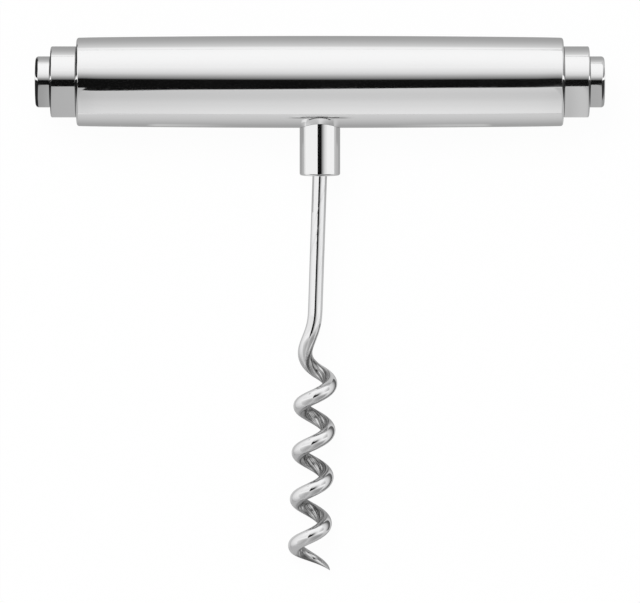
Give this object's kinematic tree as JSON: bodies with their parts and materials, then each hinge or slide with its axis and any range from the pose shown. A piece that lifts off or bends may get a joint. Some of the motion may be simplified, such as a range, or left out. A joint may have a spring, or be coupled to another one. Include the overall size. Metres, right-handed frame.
{
  "type": "t-handle corkscrew",
  "caption": "Straight-pull corkscrew: a polished steel barrel handle with stepped round ends, a collar at its middle and a coiled wire worm with a ground point.",
  "frame": {"origin": "bottom centre of the corkscrew's box as it lies on a table, so the table is z = 0", "axes": "+X along the handle, worm pointing to -Y, front of the corkscrew facing +Z"},
  "size_m": [0.125, 0.118, 0.0202],
  "materials": {
    "handle_steel": "mirror-polished stainless steel",
    "worm_steel": "polished stainless steel wire, with faint drawing marks",
    "inner_steel": "plain turned steel",
    "core_brass": "plain turned brass",
    "seal_rubber": "black rubber"
  },
  "bodies": {
    "root": {"handle_barrel": "handle_steel", "core_block": "core_brass", "worm_nut": "inner_steel", "collar": "handle_steel", "worm": "worm_steel", "left_tie_stud": "inner_steel", "left_end_cap": "handle_steel", "left_cap_seal": "seal_rubber", "left_end_button": "handle_steel", "right_tie_stud": "inner_steel", "right_end_cap": "handle_steel", "right_cap_seal": "seal_rubber", "right_end_button": "handle_steel"}
  },
  "joints": []
}
